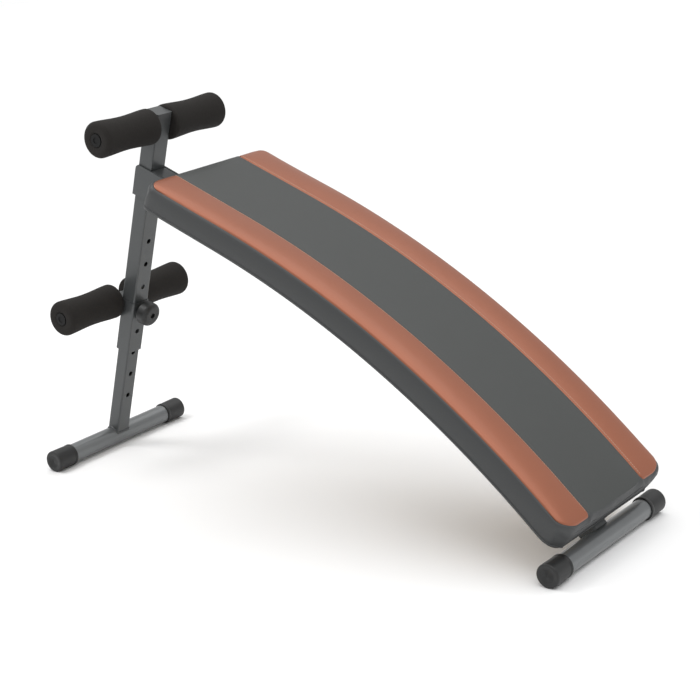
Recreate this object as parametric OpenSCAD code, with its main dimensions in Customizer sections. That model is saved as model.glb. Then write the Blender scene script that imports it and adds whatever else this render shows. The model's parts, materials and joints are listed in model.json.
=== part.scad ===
// Decline sit up bench: a curved padded board on a bent square tube, an upright with two pairs of
// foam rollers, and a lower leg that telescopes in the upright.
// X runs along the bench from the leg foot to the head foot, Z is up and the floor is z = 0.
// Places on the upright are given as a distance along it from the leg foot's axis (up), and as a
// distance across it, square to its front face (across, positive towards the pad).

/* [Overall] */
// Distance between the axes of the two floor tubes
foot_span = 1166; // [1140:1:1400]
// Length of each floor tube over its end caps
foot_len = 371; // [300:1:460]
// Lean of the upright from the vertical
upright_tilt = 17.5; // [12:0.5:22]
// Distance up the upright of its top end
upright_top = 726; // [705:1:880]
// Distance up the upright of the frame tube's centre line
frame_up = 594; // [580:1:660]

/* [Floor tubes] */
// Outside diameter of the floor tubes
foot_od = 38; // [32:0.5:42]
// Wall of the floor tubes
foot_wall = 2; // [1.2:0.1:3]
// Outside diameter of the end caps, which stand on the floor
cap_od = 43.5; // [43.5:0.5:52]
// Length of an end cap
cap_len = 50; // [25:1:60]
// Thickness of an end cap's end wall
cap_end = 4; // [3:0.5:8]
// Height of the head floor tube's axis above the frame tube's centre line, square to it
foot_rise = 8; // [0:0.5:10]

/* [Upright and leg] */
// Width of the upright tube, across the bench
post_w = 40; // [36:0.5:50]
// Depth of the upright tube, along the bench
post_d = 34; // [30:0.5:42]
// Wall of the upright tube and the leg
post_wall = 2; // [1.5:0.1:3]
// Outside corner radius of the square tubes
tube_r = 3; // [2.5:0.1:5]
// Distance up the upright of its lower end
post_low = 206.5; // [195:0.5:215]
// Gap between the upright's inside and the leg, each side
leg_gap = 1; // [0.8:0.05:1.4]
// Distance up the upright of the leg's top end
leg_top = 382; // [368:1:395]
// Pitch of the adjusting holes
pitch = 50.8; // [45:0.1:55]
// Radius of an adjusting hole
hole_r = 5.25; // [5.05:0.05:5.6]
// Distance up the leg of its lowest hole
hole_low = 101; // [96:0.5:106]
// Number of holes in the leg
leg_holes = 5; // [3:1:5]
// Number of holes in the upright
post_holes = 5; // [3:1:5]

/* [Frame tube] */
// Side of the square frame tube
frame_side = 40; // [36:0.5:45]
// Wall of the frame tube
frame_wall = 2; // [1.5:0.1:3]
// Slope of the straight lead of the frame tube
lead_tilt = 21.3; // [19:0.1:24]
// Bend radius of the frame tube's centre line
bend_r = 1960; // [1700:5:2300]
// Thickness of the collar's plates
plate_t = 3; // [2:0.5:4]
// Gap between the collar and the upright
collar_gap = 0.4; // [0.2:0.1:0.8]
// Distance up the upright of the collar's lower edge
collar_low = 551.4; // [545:0.5:556]
// How far the collar's side plates reach along the frame tube, from the upright's axis
collar_reach = 70; // [50:1:100]
// Distances up the upright of the two collar bolts
collar_bolt_up = [562, 599];

/* [Pad] */
// Width of the pad
pad_w = 341; // [280:1:400]
// Distance along the frame tube from the upright's axis to the pad's leg end
pad_start = 124; // [95:1:150]
// Distance from the pad's head end to the head floor tube's axis, along the frame tube
pad_short = 25; // [10:1:60]
// Thickness of the foam above the board
foam_t = 43.4; // [30:0.2:60]
// Thickness of the board
board_t = 12; // [9:0.5:18]
// Distance from the edge of the board to the outside of the pad
board_inset = 8; // [5:0.5:15]
// Height of the pad brackets above the frame tube
bracket_h = 10.6; // [8:0.2:16]
// Thickness of the cover
cover_t = 2; // [1:0.5:3]
// Distance from the middle of the pad to the seam of a side stripe
seam_y = 90; // [60:1:100]
// Rounding of the pad's upper edges
edge_r = 15; // [8:0.5:20]
// Rounding of the pad's corners, seen from above
corner_r = 32; // [25:1:45]
// Width of a pad bracket, across the bench
bracket_w = 230; // [210:1:250]
// Length of a pad bracket, along the frame tube
bracket_len = 46; // [30:1:60]
// Distance between a bracket's two bolts
bolt_spread = 190; // [150:1:195]
// Width of the head bracket, which shows under the pad's end
head_bracket_w = 86; // [80:1:110]
// Distance between the head bracket's two bolts
head_bolt_spread = 62; // [58:1:64]

/* [Rollers] */
// Outside diameter of a roller bar
bar_od = 25; // [22:0.5:28]
// Wall of a roller bar
bar_wall = 1.8; // [1.2:0.1:2.5]
// Radius of a foam roller at its ends
foam_r = 35; // [28:0.5:38]
// Radius of a foam roller at its waist
waist_r = 32.2; // [24:0.1:33]
// Length of a foam roller
foam_len = 145; // [110:1:170]
// Rounding of a foam roller's outer edges
foam_edge = 9; // [4:0.5:12]
// Radial clearance of a foam roller on its bar
foam_fit = 0.1; // [0.05:0.01:0.1]
// Gap between the upright and the upper rollers
upper_gap = 1; // [1:0.5:6]
// Gap between the carriage sleeve and the lower rollers
lower_gap = 2.6; // [1.6:0.1:12]
// Distance up the upright of the upper roller bar
upper_bar_up = 700; // [670:1:703]

/* [Roller carriage and lock] */
// Gap between the carriage sleeve and the upright
sleeve_gap = 0.3; // [0.1:0.05:0.5]
// Wall of the carriage sleeve
sleeve_wall = 1.6; // [1.5:0.1:3]
// Height of the carriage sleeve
sleeve_h = 34; // [24:1:44]
// Distance from the upright's axis back to the lower roller bar
bar_back = 36.6; // [36:0.1:45]
// Height of the lower roller bar above the lock pin
bar_rise = 3; // [0:0.5:6]
// Radius of the lock pin
pin_r = 4.95; // [4.5:0.05:4.95]
// Radial clearance of the lock pin in its boss and in the knob's insert
pin_fit = 0.05; // [0.02:0.01:0.1]
// Travel of the lock pin
pin_travel = 9; // [8:0.5:10]
// Height of the threaded boss on the sleeve
boss_h = 6; // [4:0.5:8]
// Radius of the threaded boss
boss_r = 10; // [8:0.5:11]
// Radius of the knob
knob_r = 24.5; // [20:0.5:28]
// Length of the knob
knob_len = 24.5; // [20:0.5:30]

/* [Hidden] */

paint = [0.36, 0.38, 0.385];
black = [0.15, 0.15, 0.155];
foam_black = [0.17, 0.165, 0.16];
steel = [0.66, 0.67, 0.69];
charcoal = [0.3, 0.31, 0.31];
copper = [0.65, 0.42, 0.31];
ply = [0.72, 0.58, 0.4];

near = -1;
far = 1;
fine = 96;
arc_fn = 720;
eps = 0.01;

// --- floor tubes, upright and leg
foot_r = foot_od / 2;
cap_r = cap_od / 2;
foot_z = cap_r;
leg_w = post_w - 2 * (post_wall + leg_gap);
leg_d = post_d - 2 * (post_wall + leg_gap);
post_hole_low = hole_low + 3 * pitch;
lock_up = hole_low + 4 * pitch;
guide_fit = 0.1;
bush_len = 40;
top_plate = 2.6;
plug_depth = 18;

// --- centre line of the frame tube: a straight lead, then an arc that meets the head floor tube
sin_a = sin(lead_tilt);
cos_a = cos(lead_tilt);
frame_x0 = frame_up * sin(upright_tilt);
frame_z0 = foot_z + frame_up * cos(upright_tilt);
rise_x0 = frame_x0 + foot_rise * sin_a;
rise_z0 = frame_z0 + foot_rise * cos_a;
rise_r = bend_r + foot_rise;
turn = acos(1 + ((foot_span - rise_x0) * sin_a + (foot_z - rise_z0) * cos_a) / rise_r);
end_tilt = lead_tilt + turn;
lead_len = ((foot_span - rise_x0) - rise_r * (sin(end_tilt) - sin_a)) / cos_a;
bend_x = frame_x0 + lead_len * cos_a;
bend_z = frame_z0 - lead_len * sin_a;
centre_x = bend_x - bend_r * sin_a;
centre_z = bend_z - bend_r * cos_a;
head_at = turn * PI / 180 * bend_r;

// --- the pad, as stations along the centre line and heights above it
pad_t1 = pad_start - lead_len;
pad_t2 = head_at - pad_short;
board_low = frame_side / 2 + bracket_h;
board_top = board_low + board_t;
pad_top = board_top + foam_t;
pad_end_tilt = lead_tilt + pad_t2 / bend_r * 180 / PI;
bracket_t = 3;
pad_spare = 4;
corner_ease = 0.4;
bracket_at = [pad_t1 + 110, (pad_t1 + pad_t2) / 2, pad_t2 - bracket_len / 2 + 2];
bracket_wide = [bracket_w, bracket_w, head_bracket_w];
bracket_bolts = [bolt_spread, bolt_spread, head_bolt_spread];
bolt_r = 4;
bolt_slack = 0.05;
tee_r = 5;
tee_flange_r = 10;
tee_flange_t = 1.5;
washer_t = 1.6;
washer_seat = 0.04;
washer_r = 8;
head_h = 5.3;
head_af = 13;

// --- rollers, carriage and lock
bar_r = bar_od / 2;
upper_in = post_w / 2 + upper_gap;
plug_t = 2.5;
sleeve_in_w = post_w + 2 * sleeve_gap;
sleeve_in_d = post_d + 2 * sleeve_gap;
sleeve_front = sleeve_in_d / 2 + sleeve_wall;
pin_tip = post_d / 2 + sleeve_gap + bolt_slack;
knob_rear = sleeve_front + pin_travel + 0.2;
knob_front = knob_rear + knob_len;
knob_recess = 8;
knob_recess_r = 13;
insert_r = 8.5;
socket_depth = 7;
socket_af = 11;

// --- the box of the whole bench, whose middle is the origin
max_x = max(foot_span + cap_r, centre_x + (bend_r + pad_top) * sin(pad_end_tilt));
mid_x = (max_x - cap_r) / 2;

function tilt_at(t) = lead_tilt + (t > 0 ? t / bend_r * 180 / PI : 0);
function line_x(t) = t > 0 ? centre_x + bend_r * sin(tilt_at(t)) : bend_x + t * cos_a;
function line_z(t) = t > 0 ? centre_z + bend_r * cos(tilt_at(t)) : bend_z - t * sin_a;

// Places children in the bench's own frame, with the origin under the middle of its box
module bench() translate([-mid_x, 0, 0]) children();

// Places children on the upright: X is across, Y is across the bench, Z is up the upright
module on_post() bench() translate([0, 0, foot_z]) rotate([0, upright_tilt, 0]) children();

// Places children on the frame tube's centre line at a station, with X along and Z square to it
module on_line(t) bench() translate([line_x(t), 0, line_z(t)]) rotate([0, tilt_at(t), 0]) children();

// Places children where the lead meets the arc, with X along the lead and Z square to it
module at_bend() bench() translate([bend_x, 0, bend_z]) rotate([0, lead_tilt, 0]) children();

// Carries a flat outline (width, height above the centre line) along the line between two stations
module sweep(t1, t2) {
    start = max(t1, 0);
    at_bend() {
        if (t1 < 0)
            translate([t1, 0, 0]) rotate([90, 0, 90]) linear_extrude(min(t2, 0) - t1) children();
        if (t2 > 0)
            translate([0, 0, -bend_r]) rotate([90, 0, 0]) mirror([1, -1, 0])
                rotate([0, 0, start / bend_r * 180 / PI])
                    rotate_extrude(angle = (t2 - start) / bend_r * 180 / PI, $fn = arc_fn)
                        translate([bend_r, 0]) rotate(-90) children();
    }
}

// A rectangle with round corners, centred
module round_rect(w, h, r) {
    square([w - 2 * r, h], center = true);
    square([w, h - 2 * r], center = true);
    for (sx = [-1, 1], sy = [-1, 1])
        translate([sx * (w / 2 - r), sy * (h / 2 - r)]) circle(r, $fn = 32);
}

// A hollow square tube's section
module tube_section(w, h, wall) {
    difference() {
        round_rect(w, h, tube_r);
        round_rect(w - 2 * wall, h - 2 * wall, max(tube_r - wall, 0.5));
    }
}

// A cylinder along X on the upright, between two places across it
module across_rod(up, a1, a2, r) {
    translate([a1, 0, up]) rotate([0, 90, 0]) cylinder(r = r, h = a2 - a1, $fn = 48);
}

// A hexagon prism along X on the upright
module across_hex(up, a1, a2, af) {
    translate([a1, 0, up]) rotate([0, 90, 0]) cylinder(d = af / cos(30), h = a2 - a1, $fn = 6);
}

// A rod along Y
module y_rod(y1, y2, r) {
    translate([0, y1, 0]) rotate([-90, 0, 0]) cylinder(r = r, h = y2 - y1, $fn = fine);
}

// ---------------------------------------------------------------- floor tubes
module at_foot(x) bench() translate([x, 0, foot_z]) children();

module foot_tube(x) {
    half = foot_len / 2 - cap_end;
    color(paint) at_foot(x) difference() {
        y_rod(-half, half, foot_r);
        y_rod(-half - 1, half + 1, foot_r - foot_wall);
    }
}

// An end cap: a cup over the tube's end, with a round rim and a shallow dish in its face
module foot_cap(x, side) {
    rim = 2.5;
    dish_r = cap_r * 0.6;
    dish = 1;
    color(black) at_foot(x) rotate([-90 * side, 0, 0]) translate([0, 0, foot_len / 2 - cap_len])
        rotate_extrude($fn = fine) difference() {
            union() {
                square([cap_r, cap_len - rim]);
                square([cap_r - rim, cap_len]);
                translate([cap_r - rim, cap_len - rim]) circle(rim, $fn = 32);
            }
            translate([-1, -1]) square([foot_r + 1, cap_len - cap_end + 1]);
            translate([-1, cap_len - dish]) square([dish_r + 1, dish + 1]);
            translate([-cap_r, -1]) square([cap_r, cap_len + 2]);
        }
}

module leg_foot_tube() foot_tube(0);
module head_foot_tube() foot_tube(foot_span);

// ---------------------------------------------------------------- leg and upright
module lower_leg() {
    color(paint) on_post() difference() {
        linear_extrude(leg_top) rotate(90) tube_section(leg_w, leg_d, post_wall);
        y_rod(-post_w, post_w, foot_r);
        for (i = [0 : leg_holes - 1])
            across_rod(hole_low + i * pitch, -post_d, post_d, hole_r);
    }
}

// Plastic guide in the leg's top end: a collar that slides in the upright, and a plug in the leg
module leg_top_guide() {
    collar_t = 4;
    color(black) on_post() translate([0, 0, leg_top]) {
        linear_extrude(collar_t)
            round_rect(post_d - 2 * post_wall - 2 * guide_fit, post_w - 2 * post_wall - 2 * guide_fit, 2);
        translate([0, 0, -plug_depth]) linear_extrude(plug_depth)
            round_rect(leg_d - 2 * post_wall, leg_w - 2 * post_wall, max(tube_r - post_wall, 0.5));
    }
}

module upright_tube() {
    color(paint) on_post() difference() {
        translate([0, 0, post_low]) linear_extrude(upright_top - post_low)
            rotate(90) tube_section(post_w, post_d, post_wall);
        for (i = [0 : post_holes - 1])
            across_rod(post_hole_low + i * pitch, -post_d, post_d, hole_r);
        for (up = collar_bolt_up)
            across_rod(up, -post_d, post_d, bolt_r + 0.5);
        translate([0, 0, upper_bar_up]) y_rod(-post_w, post_w, bar_r);
    }
}

module upright_top_cap() {
    rim_t = 2;
    plug_len = 8;
    inside_w = post_w - 2 * post_wall;
    inside_d = post_d - 2 * post_wall;
    color(paint) on_post() translate([0, 0, upright_top]) {
        linear_extrude(top_plate) round_rect(post_d, post_w, tube_r);
        translate([0, 0, -plug_len]) linear_extrude(plug_len) difference() {
            round_rect(inside_d, inside_w, max(tube_r - post_wall, 0.5));
            round_rect(inside_d - 2 * rim_t, inside_w - 2 * rim_t, 0.5);
        }
    }
}

// Thin plastic bush in the upright's lower end, in which the leg slides
module upright_guide_bush() {
    color(black) on_post() translate([0, 0, post_low]) linear_extrude(bush_len) difference() {
        round_rect(post_d - 2 * post_wall, post_w - 2 * post_wall, max(tube_r - post_wall, 0.5));
        round_rect(leg_d + 2 * guide_fit, leg_w + 2 * guide_fit, tube_r - guide_fit);
    }
}

// ---------------------------------------------------------------- frame tube and collar
// The frame tube runs from the collar's front plate to the head floor tube, which it is cut to fit
module main_frame_tube() {
    front = post_d / 2 + collar_gap + plate_t;
    trim = foot_r - 3;
    shoulder = frame_side / 2 - tube_r - 1;
    color(paint) difference() {
        sweep(-lead_len, head_at) tube_section(frame_side, frame_side, frame_wall);
        on_post() translate([front - 200, -100, 400]) cube([200, 200, 400]);
        at_foot(foot_span) y_rod(-100, 100, foot_r);
        on_line(head_at) translate([-trim, -100, shoulder]) cube([100, 200, 100]);
    }
}

// Outline of a collar side plate on the upright: across, up
module collar_side_outline() {
    rear = -(post_d / 2 + collar_gap + plate_t);
    slope = lead_tilt - upright_tilt;
    top = frame_up + frame_side / 2 / cos(slope);
    low = frame_up - frame_side / 2 / cos(slope);
    round_r = 10;
    tip = collar_reach;
    fall = tan(slope);
    difference() {
        polygon([[rear, collar_low], [post_d / 2 + 12, collar_low], [tip, low - tip * fall],
            [tip, top - tip * fall], [rear, top - rear * fall]]);
        translate([rear, top - rear * fall]) difference() {
            translate([-1, -round_r]) square([round_r + 1, round_r + 1]);
            translate([round_r, -round_r]) circle(round_r, $fn = 48);
        }
    }
}

// A folded plate that wraps the upright from behind and is welded to the frame tube's sides
module frame_collar() {
    half_in = post_w / 2 + collar_gap;
    rear_in = -(post_d / 2 + collar_gap);
    shim = half_in - frame_side / 2;
    color(paint) on_post() difference() {
        union() {
            for (side = [near, far])
                translate([0, side > 0 ? half_in + plate_t : -half_in, 0])
                    rotate([90, 0, 0]) linear_extrude(plate_t) collar_side_outline();
            intersection() {
                translate([rear_in - plate_t, -half_in - eps, collar_low])
                    cube([plate_t, 2 * half_in + 2 * eps, 100]);
                translate([0, half_in + plate_t, 0]) rotate([90, 0, 0])
                    linear_extrude(2 * (half_in + plate_t)) collar_side_outline();
            }
            if (shim > 0)
                intersection() {
                    for (side = [near, far])
                        translate([post_d / 2 + 5 + plate_t, side > 0 ? frame_side / 2 : -half_in - eps,
                            frame_up - frame_side])
                            cube([collar_reach - post_d / 2 - 10, shim + eps, frame_side * 1.2]);
                    translate([0, half_in + plate_t, 0]) rotate([90, 0, 0])
                        linear_extrude(2 * (half_in + plate_t)) collar_side_outline();
                }
        }
        for (up = collar_bolt_up)
            across_rod(up, rear_in - plate_t - 1, rear_in + 1, bolt_r + 0.5);
    }
}

module collar_front_plate() {
    half_in = post_w / 2 + collar_gap;
    a1 = post_d / 2 + collar_gap;
    color(paint) on_post() difference() {
        translate([a1, -half_in, collar_low])
            cube([plate_t, 2 * half_in, frame_up + frame_side / 2 - collar_low - 2]);
        for (up = collar_bolt_up)
            across_rod(up, a1 - 1, a1 + plate_t + 1, bolt_r + 0.5);
    }
}

collar_rear = -(post_d / 2 + collar_gap + plate_t);
collar_front = post_d / 2 + collar_gap + plate_t;
nut_h = 6.5;

module collar_bolts() {
    color(steel) on_post() for (up = collar_bolt_up) {
        across_hex(up, collar_rear - washer_t - head_h, collar_rear - washer_t, head_af);
        across_rod(up, collar_rear - washer_t, collar_front + nut_h + 2, bolt_r - bolt_slack);
    }
}

module collar_washers() {
    color(steel) on_post() for (up = collar_bolt_up) difference() {
        across_rod(up, collar_rear - washer_t, collar_rear, washer_r);
        across_rod(up, collar_rear - washer_t - 1, collar_rear + 1, bolt_r);
    }
}

module collar_nuts() {
    color(steel) on_post() for (up = collar_bolt_up) difference() {
        across_hex(up, collar_front, collar_front + nut_h, head_af);
        across_rod(up, collar_front - 1, collar_front + nut_h + 1, bolt_r);
    }
}

// ---------------------------------------------------------------- rollers
module at_upper_bar() on_post() translate([0, 0, upper_bar_up]) children();
module at_lower_bar() on_post() translate([-bar_back, 0, lock_up + bar_rise]) children();

module bar_tube(half) difference() {
    y_rod(-half, half, bar_r);
    y_rod(-half - 1, half + 1, bar_r - bar_wall);
}

// A foam roller from y = inner outwards: full at its ends, with a shallow waist between them
module foam_roller(inner, side) {
    dip = foam_r - waist_r;
    reach = foam_len / 2 - foam_edge;
    dip_r = (reach * reach + dip * dip) / (2 * dip);
    bore = bar_r + foam_fit;
    color(foam_black) rotate([-90 * side, 0, 0]) translate([0, 0, inner])
        rotate_extrude($fn = fine) difference() {
            union() {
                translate([bore, 0]) square([foam_r - foam_edge - bore, foam_len]);
                translate([bore, foam_edge]) square([foam_r - bore, foam_len - 2 * foam_edge]);
                for (y = [foam_edge, foam_len - foam_edge])
                    translate([foam_r - foam_edge, y]) circle(foam_edge, $fn = 48);
            }
            translate([waist_r + dip_r, foam_len / 2]) circle(dip_r, $fn = arc_fn);
        }
}

// End plug of a roller bar: a ribbed stem in the tube and a flange with a small dish
module bar_plug(half, side) {
    stem_len = 14;
    dish_r = 6;
    dish = 1;
    color(black) rotate([-90 * side, 0, 0]) translate([0, 0, half]) difference() {
        union() {
            translate([0, 0, -stem_len]) cylinder(r = bar_r - bar_wall, h = stem_len, $fn = fine);
            cylinder(r = bar_r, h = plug_t, $fn = fine);
        }
        translate([0, 0, plug_t - dish]) cylinder(r = dish_r, h = dish + 1, $fn = fine);
    }
}

upper_half = upper_in + foam_len - plug_t;
lower_in = post_w / 2 + sleeve_gap + sleeve_wall + lower_gap;
lower_half = lower_in + foam_len - plug_t;

module upper_roller_bar() color(paint) at_upper_bar() bar_tube(upper_half);
module lower_roller_bar() color(paint) at_lower_bar() bar_tube(lower_half);

// ---------------------------------------------------------------- roller carriage and lock
// A sleeve that slides on the upright and carries the lower roller bar and the lock
module carriage_sleeve() {
    color(paint) on_post() difference() {
        translate([0, 0, lock_up - sleeve_h / 2]) linear_extrude(sleeve_h) difference() {
            round_rect(sleeve_in_d + 2 * sleeve_wall, sleeve_in_w + 2 * sleeve_wall, tube_r + sleeve_wall);
            round_rect(sleeve_in_d, sleeve_in_w, tube_r);
        }
        across_rod(lock_up, 0, post_d, pin_r + pin_fit);
    }
}

// A block between the sleeve and the lower roller bar, hollowed to seat the bar
module carriage_saddle() {
    seat_w = 32;
    seat_h = 22;
    color(paint) on_post() difference() {
        translate([-bar_back + bar_r * 0.3, -seat_w / 2, lock_up + bar_rise - seat_h / 2])
            cube([bar_back - bar_r * 0.3 - sleeve_front, seat_w, seat_h]);
        translate([-bar_back, 0, lock_up + bar_rise]) y_rod(-seat_w, seat_w, bar_r);
    }
}

module lock_boss() {
    color(paint) on_post() difference() {
        across_rod(lock_up, sleeve_front, sleeve_front + boss_h, boss_r);
        across_rod(lock_up, sleeve_front - 1, sleeve_front + boss_h + 1, pin_r + pin_fit);
    }
}

module lock_pin() {
    nose = 1;
    color(steel) on_post() {
        across_rod(lock_up, pin_tip + nose, knob_front - socket_depth - 1, pin_r);
        translate([pin_tip, 0, lock_up]) rotate([0, 90, 0])
            cylinder(r1 = pin_r - nose, r2 = pin_r, h = nose, $fn = 48);
    }
}

// A round black knob: hollow behind to clear the boss, with a rolled front edge and a hex socket
module lock_knob() {
    rim = 3;
    brow = 9;
    color(black) on_post() difference() {
        translate([knob_rear, 0, lock_up]) rotate([0, 90, 0]) rotate_extrude($fn = fine) difference() {
            union() {
                translate([0, rim]) square([knob_r, knob_len - rim - brow]);
                square([knob_r - rim, knob_len - brow]);
                square([knob_r - brow, knob_len]);
                translate([knob_r - rim, rim]) circle(rim, $fn = 32);
                translate([knob_r - brow, knob_len - brow]) circle(brow, $fn = 64);
            }
            translate([-knob_r, -1]) square([knob_r, knob_len + 2]);
        }
        across_rod(lock_up, knob_rear - 1, knob_rear + knob_recess, knob_recess_r);
        across_rod(lock_up, knob_rear, knob_front - socket_depth, insert_r);
        across_hex(lock_up, knob_front - socket_depth - 1, knob_front + 1, socket_af);
    }
}

// Steel insert moulded into the knob, which turns on the pin
module knob_insert() {
    color(steel) on_post() difference() {
        across_rod(lock_up, knob_rear + knob_recess, knob_front - socket_depth, insert_r);
        across_rod(lock_up, knob_rear, knob_front, pin_r + pin_fit);
    }
}

// ---------------------------------------------------------------- pad brackets, board and cushion
// A plate across the frame tube with two lips that are welded to the tube's sides
module pad_bracket(place) {
    t = bracket_at[place];
    wide = bracket_wide[place];
    half = bracket_len / 2;
    lip = 14;
    side = frame_side / 2;
    color(paint) difference() {
        sweep(t - half, t + half) {
            translate([-wide / 2, board_low - bracket_t]) square([wide, bracket_t]);
            for (s = [near, far])
                translate([s > 0 ? side : -side - bracket_t, side - lip])
                    square([bracket_t, lip + bracket_h - bracket_t]);
        }
        for (s = [near, far])
            on_line(t) translate([0, s * bracket_bolts[place] / 2, board_low - bracket_t - 1])
                cylinder(r = bolt_r + 0.5, h = bracket_t + 2, $fn = 48);
    }
}

// What is cut off the pad's ends and corners to draw them in by an inset
module end_cuts(inset) {
    half = pad_w / 2;
    tall = pad_top + 20;
    spare = 20;
    for (s = [near, far], e = [-1, 1])
        on_line(e < 0 ? pad_t1 : pad_t2) mirror([e > 0 ? 1 : 0, 0, 0]) mirror([0, s > 0 ? 1 : 0, 0])
            translate([0, -half, 0]) {
                translate([-spare, -spare, 0]) cube([spare + inset, half + spare + 1, tall]);
                difference() {
                    translate([-spare, -spare, 0]) cube([corner_r + spare, corner_r + spare, tall]);
                    translate([corner_r, corner_r, -1])
                        cylinder(r = corner_r - inset + corner_ease, h = tall + 2, $fn = fine);
                }
            }
}

// The pad's outer shape, drawn in by an inset at its sides, ends and top
module pad_shape(inset) {
    half = pad_w / 2 - inset;
    top = pad_top - inset;
    r = edge_r - inset;
    low = board_low - inset;
    difference() {
        sweep(pad_t1 - pad_spare, pad_t2 + pad_spare) {
            translate([-half, low]) square([2 * half, top - r - low]);
            translate([-half + r, low]) square([2 * half - 2 * r, top - low]);
            for (s = [near, far])
                translate([s * (half - r), top - r]) circle(r, $fn = 64);
        }
        end_cuts(inset);
    }
}

module board_shape() {
    half = pad_w / 2 - board_inset;
    difference() {
        sweep(pad_t1 - pad_spare, pad_t2 + pad_spare) translate([-half, board_low]) square([2 * half, board_t]);
        end_cuts(board_inset);
    }
}

// Places children at each of the pad's six bolts, with Z square to the board
module at_pad_bolts() {
    for (place = [0 : len(bracket_at) - 1], s = [near, far])
        on_line(bracket_at[place]) translate([0, s * bracket_bolts[place] / 2, 0]) children();
}

module pad_board() {
    color(ply) difference() {
        board_shape();
        at_pad_bolts() translate([0, 0, board_low - 1]) cylinder(r = tee_r, h = board_t + 2, $fn = 48);
    }
}

// The foam block, over and around the board
module pad_foam() {
    recess = 1;
    color([0.85, 0.82, 0.7]) difference() {
        pad_shape(cover_t);
        below_board();
        board_shape();
        at_pad_bolts() translate([0, 0, board_low])
            cylinder(r = tee_flange_r + recess, h = board_t + tee_flange_t + recess, $fn = 48);
    }
}

// The room under the board's underside
module below_board() {
    sweep(pad_t1 - pad_spare, pad_t2 + pad_spare) translate([-pad_w, board_low - 10]) square([2 * pad_w, 10]);
}

// One strip of the cover's top, between two distances from the middle of the pad
module cover_strip(y1, y2) {
    difference() {
        sweep(pad_t1 - pad_spare, pad_t2 + pad_spare) translate([y1, pad_top - cover_t]) square([y2 - y1, cover_t]);
        end_cuts(edge_r);
    }
}

stripe_out = pad_w / 2 - edge_r - 1;

module cover_centre() color(charcoal) cover_strip(-seam_y, seam_y);
module cover_stripe_near() color(copper) cover_strip(-stripe_out, -seam_y);
module cover_stripe_far() color(copper) cover_strip(seam_y, stripe_out);

// The rest of the cover: the rolled edges, sides and ends
module cover_band() {
    color(charcoal) difference() {
        pad_shape(0);
        pad_shape(cover_t);
        cover_strip(-stripe_out, stripe_out);
    }
}

module pad_bolts() {
    low = board_low - bracket_t - washer_t - washer_seat;
    color(steel) at_pad_bolts() {
        translate([0, 0, low - head_h]) cylinder(d = head_af / cos(30), h = head_h, $fn = 6);
        translate([0, 0, low]) cylinder(r = bolt_r - bolt_slack, h = board_top - low, $fn = 48);
    }
}

module pad_washers() {
    low = board_low - bracket_t - washer_t - washer_seat;
    color(steel) at_pad_bolts() difference() {
        translate([0, 0, low]) cylinder(r = washer_r, h = washer_t, $fn = 48);
        translate([0, 0, low - 1]) cylinder(r = bolt_r, h = washer_t + 2, $fn = 48);
    }
}

module pad_tee_nuts() {
    barrel = board_t - 2;
    color(steel) at_pad_bolts() difference() {
        union() {
            translate([0, 0, board_top - barrel]) cylinder(r = tee_r, h = barrel, $fn = 48);
            translate([0, 0, board_top + 0.2]) cylinder(r = tee_flange_r, h = tee_flange_t, $fn = 48);
            translate([0, 0, board_top]) cylinder(r = tee_r, h = 0.3, $fn = 48);
        }
        translate([0, 0, board_low]) cylinder(r = bolt_r, h = 2 * board_t, $fn = 48);
    }
}

leg_foot_tube();
foot_cap(0, near);  // leg_foot_cap_near
foot_cap(0, far);  // leg_foot_cap_far
lower_leg();
leg_top_guide();
upright_tube();
upright_top_cap();
upright_guide_bush();
head_foot_tube();
foot_cap(foot_span, near);  // head_foot_cap_near
foot_cap(foot_span, far);  // head_foot_cap_far
main_frame_tube();
frame_collar();
collar_front_plate();
collar_bolts();
collar_washers();
collar_nuts();
upper_roller_bar();
at_upper_bar() foam_roller(upper_in, near);  // upper_foam_near
at_upper_bar() foam_roller(upper_in, far);  // upper_foam_far
at_upper_bar() bar_plug(upper_half, near);  // upper_plug_near
at_upper_bar() bar_plug(upper_half, far);  // upper_plug_far
carriage_sleeve();
carriage_saddle();
lock_boss();
lower_roller_bar();
at_lower_bar() foam_roller(lower_in, near);  // lower_foam_near
at_lower_bar() foam_roller(lower_in, far);  // lower_foam_far
at_lower_bar() bar_plug(lower_half, near);  // lower_plug_near
at_lower_bar() bar_plug(lower_half, far);  // lower_plug_far
lock_pin();
lock_knob();
knob_insert();
pad_bracket(0);  // pad_bracket_leg
pad_bracket(1);  // pad_bracket_middle
pad_bracket(2);  // pad_bracket_head
pad_board();
pad_foam();
cover_centre();
cover_stripe_near();
cover_stripe_far();
cover_band();
pad_bolts();
pad_washers();
pad_tee_nuts();
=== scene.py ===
# %% [markdown]
# A decline sit up bench, dressed for a studio picture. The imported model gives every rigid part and
# says how it moves. This script loads it, gives each part a finish, makes the sewn pad, the foam
# rollers and the end caps as their own surfaces, and sets the light and the camera.

import json
import math

import bmesh
import bpy
import numpy as np
from mathutils import Matrix, Vector


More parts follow.
